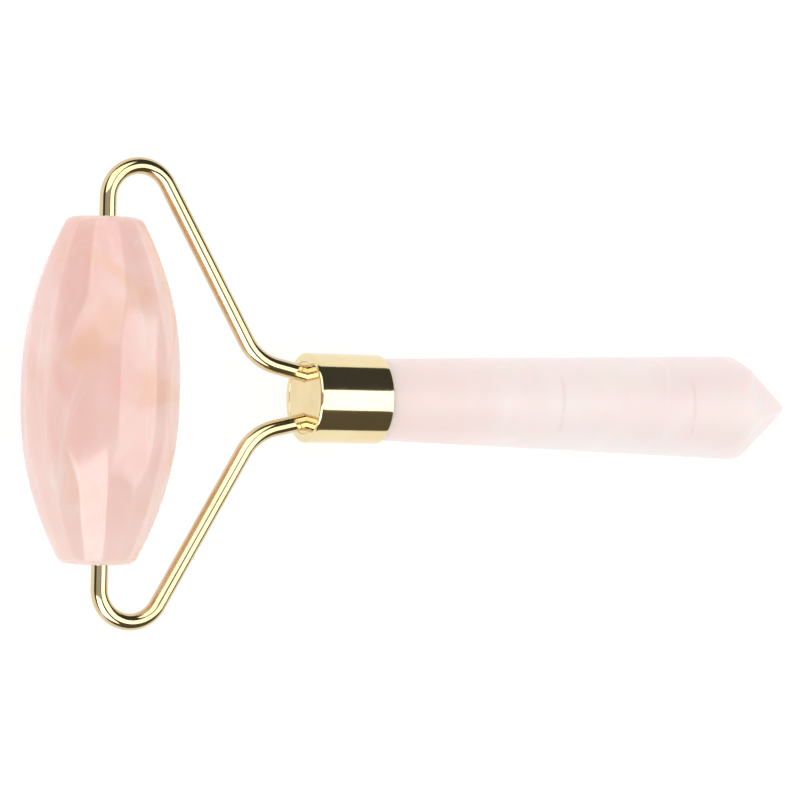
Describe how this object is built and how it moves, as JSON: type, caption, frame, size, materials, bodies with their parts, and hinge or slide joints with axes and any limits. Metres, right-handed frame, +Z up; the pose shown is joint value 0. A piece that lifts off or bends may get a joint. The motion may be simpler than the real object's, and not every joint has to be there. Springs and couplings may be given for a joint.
{
  "type": "face roller",
  "caption": "Hand-held facial massage roller: a faceted rose-quartz barrel that spins in a gold-tone wire yoke on a tapered, pointed stone handle.",
  "frame": {"origin": "middle of the tool's outline, on the table it lies on", "axes": "+X along the tool from the roller to the handle's point, +Y along the roller's axle, +Z up; the tool lies flat, resting on a facet of the roller and on the handle's shoulder"},
  "size_m": [0.142, 0.0772, 0.0258],
  "materials": {
    "rose_quartz": "polished",
    "pale_rose_quartz": "polished",
    "gold_plated_wire": "polished",
    "gold_plated_ferrule": "polished",
    "nylon": "satin",
    "solder": "matte",
    "epoxy": "gloss"
  },
  "bodies": {
    "frame": {"yoke_wire": "gold_plated_wire", "ferrule_tube": "gold_plated_ferrule", "ferrule_disc": "gold_plated_ferrule", "yoke_solder": "solder", "handle_epoxy": "epoxy", "handle_stone": "pale_rose_quartz"},
    "roller": {"roller_stone": "rose_quartz", "upper_bush": "nylon", "lower_bush": "nylon"}
  },
  "joints": [
    {"name": "roller_spin", "type": "hinge", "parent": "frame", "child": "roller", "pos_m": [-0.05753, 0, 0.0128], "axis": [0, 1, 0], "continuous": true}
  ]
}
